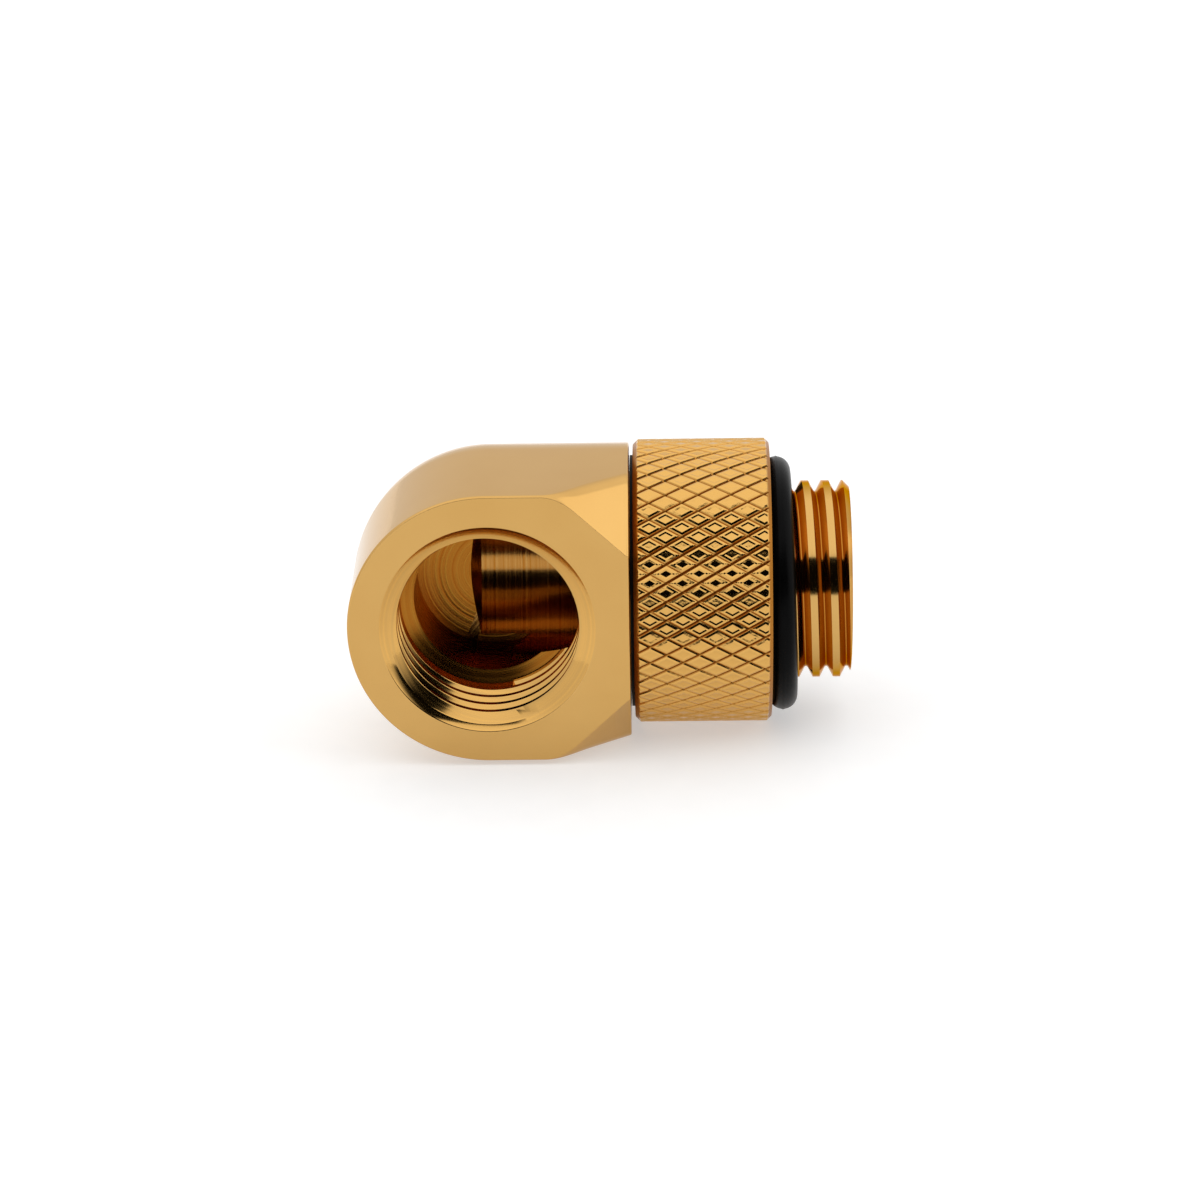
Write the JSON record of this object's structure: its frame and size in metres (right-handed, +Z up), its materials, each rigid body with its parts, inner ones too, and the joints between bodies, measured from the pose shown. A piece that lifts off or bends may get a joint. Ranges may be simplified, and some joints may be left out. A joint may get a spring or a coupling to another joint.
{
  "type": "rotary right-angle pipe adapter",
  "caption": "Gold-plated right-angle rotary adapter for liquid cooling: faceted elbow with a female port, swivelling on a knurled collar with a male thread and face seal.",
  "frame": {"origin": "centre of the sealing face around the male thread, on the swivel axis", "axes": "+X along the swivel axis towards the end of the male thread, -Y along the female port's axis out of its mouth, +Z up"},
  "size_m": [0.0327, 0.0186, 0.0186],
  "materials": {
    "gold_plate": "polished gold plate",
    "gold_thread": "bright gold plate over cut thread",
    "gold_knurl": "bright gold plate over a diamond knurl",
    "turned_brass": "turned, with fine tool marks",
    "seal_rubber": "satin moulded rubber",
    "black_ptfe": "matte",
    "spring_steel": "satin"
  },
  "bodies": {
    "base": {"rotary_base": "gold_thread", "knurled_collar": "gold_knurl", "face_seal": "seal_rubber", "retaining_ring": "spring_steel", "slide_washer": "black_ptfe"},
    "elbow": {"elbow_body": "gold_plate", "swivel_spigot": "turned_brass", "spigot_seal_inner": "seal_rubber", "spigot_seal_outer": "seal_rubber"}
  },
  "joints": [
    {"name": "swivel", "type": "hinge", "parent": "base", "child": "elbow", "pos_m": [0, 0, 0], "axis": [1, 0, 0], "continuous": true}
  ]
}
